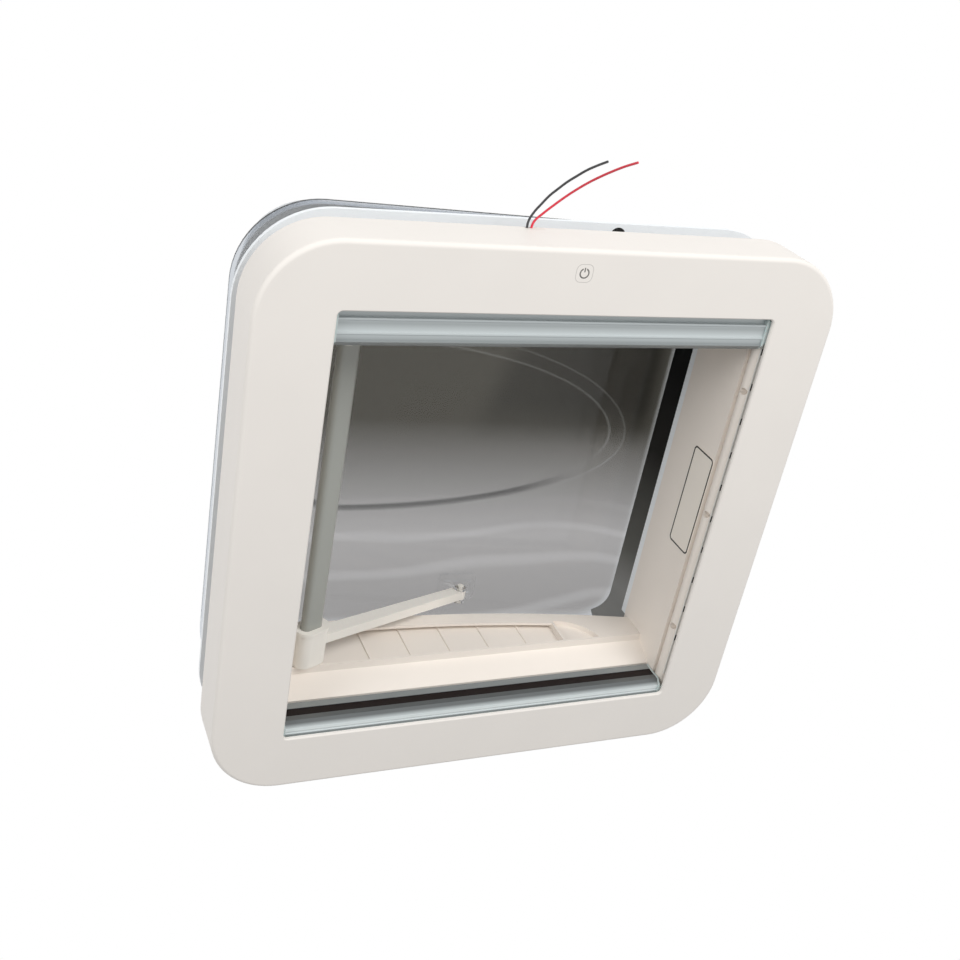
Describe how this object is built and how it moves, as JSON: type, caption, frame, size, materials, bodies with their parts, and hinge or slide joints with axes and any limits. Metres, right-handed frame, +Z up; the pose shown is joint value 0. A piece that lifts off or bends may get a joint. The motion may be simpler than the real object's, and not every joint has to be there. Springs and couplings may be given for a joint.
{
  "type": "roof vent",
  "caption": "Square roof vent seen from inside: moulded trim and roof frame, opening smoked dome on a bail in arched guides, and pleated blackout and flyscreen blinds.",
  "frame": {"origin": "centre of the interior trim's face, in the plane of that face", "axes": "+Z up through the roof, +X towards the dome hinge, +Y towards the blackout blind"},
  "size_m": [0.478, 0.5423, 0.1849],
  "materials": {
    "cream_plastic": "fine satin",
    "white_plastic": "fine satin",
    "ivory_plastic": "satin",
    "smoked_acrylic": "polished, smoky, see-through",
    "clear_acrylic": "polished, see-through",
    "bracket_plastic": "polished, see-through",
    "aluminium_bar": "satin anodised",
    "bail_bar_paint": "satin grey",
    "steel": "plated",
    "black_rubber": "matt",
    "magnet_rubber": "matt dark brown",
    "cap_plastic": "satin, slightly milky",
    "cassette_plastic": "matt",
    "blackout_fabric": "matt pleated",
    "screen_fabric": "fine pleated mesh",
    "light_strip": "matt",
    "board": "matt",
    "label": "matt",
    "lead_black_pvc": "satin",
    "lead_red_pvc": "satin",
    "grommet_rubber": "matt"
  },
  "bodies": {
    "frame": {"trim_frame": "cream_plastic", "liner_frame": "cream_plastic", "roof_frame": "white_plastic", "blackout_cassette": "cassette_plastic", "screen_cassette": "cassette_plastic", "side_rail_left": "cream_plastic", "side_rail_right": "cream_plastic", "led_strip_left": "light_strip", "led_strip_right": "light_strip", "touch_board": "board", "lead_grommet": "grommet_rubber", "lead_black": "lead_black_pvc", "lead_red": "lead_red_pvc", "flange_plug": "black_rubber", "label_plate": "label", "clamp_screws": "steel", "rail_screws": "steel", "dome_seal": "black_rubber", "hinge_pins": "steel", "blackout_pleats": "blackout_fabric", "screen_pleats": "screen_fabric"},
    "dome": {"dome_outer": "smoked_acrylic", "dome_inner": "clear_acrylic", "hinge_leaf_front": "steel", "hinge_leaf_rear": "steel", "dome_bracket_front": "bracket_plastic", "dome_bracket_rear": "bracket_plastic", "hinge_gaiter": "black_rubber"},
    "bail": {"bail_bar": "bail_bar_paint", "bail_corner_front": "ivory_plastic", "bail_corner_rear": "ivory_plastic", "bail_arm_front": "ivory_plastic", "bail_arm_rear": "ivory_plastic", "bail_pins": "ivory_plastic"},
    "blackout": {"blackout_bar": "aluminium_bar", "blackout_caps": "cap_plastic", "blackout_magnet": "magnet_rubber"},
    "screen": {"screen_bar": "aluminium_bar", "screen_caps": "cap_plastic", "screen_magnet": "magnet_rubber"}
  },
  "joints": [
    {"name": "dome_hinge", "type": "hinge", "parent": "frame", "child": "dome", "pos_m": [0.233, 0, 0.088], "axis": [0, 1, 0], "range_deg": [-5, 35]},
    {"name": "bail_pivot", "type": "hinge", "parent": "dome", "child": "bail", "pos_m": [0.019, 0, 0.13], "axis": [0, 1, 0], "range_deg": [-84, 12]},
    {"name": "blackout_slide", "type": "slide", "parent": "frame", "child": "blackout", "axis": [0, -1, 0], "range_m": [0, 0.168], "deforming": ["blackout_pleats"]},
    {"name": "screen_slide", "type": "slide", "parent": "frame", "child": "screen", "axis": [0, 1, 0], "range_m": [-0.018, 0.165], "deforming": ["screen_pleats"]}
  ],
  "couplings": [
    {"joint": "bail_pivot", "follows": "dome_hinge", "ratio": -2.4}
  ]
}
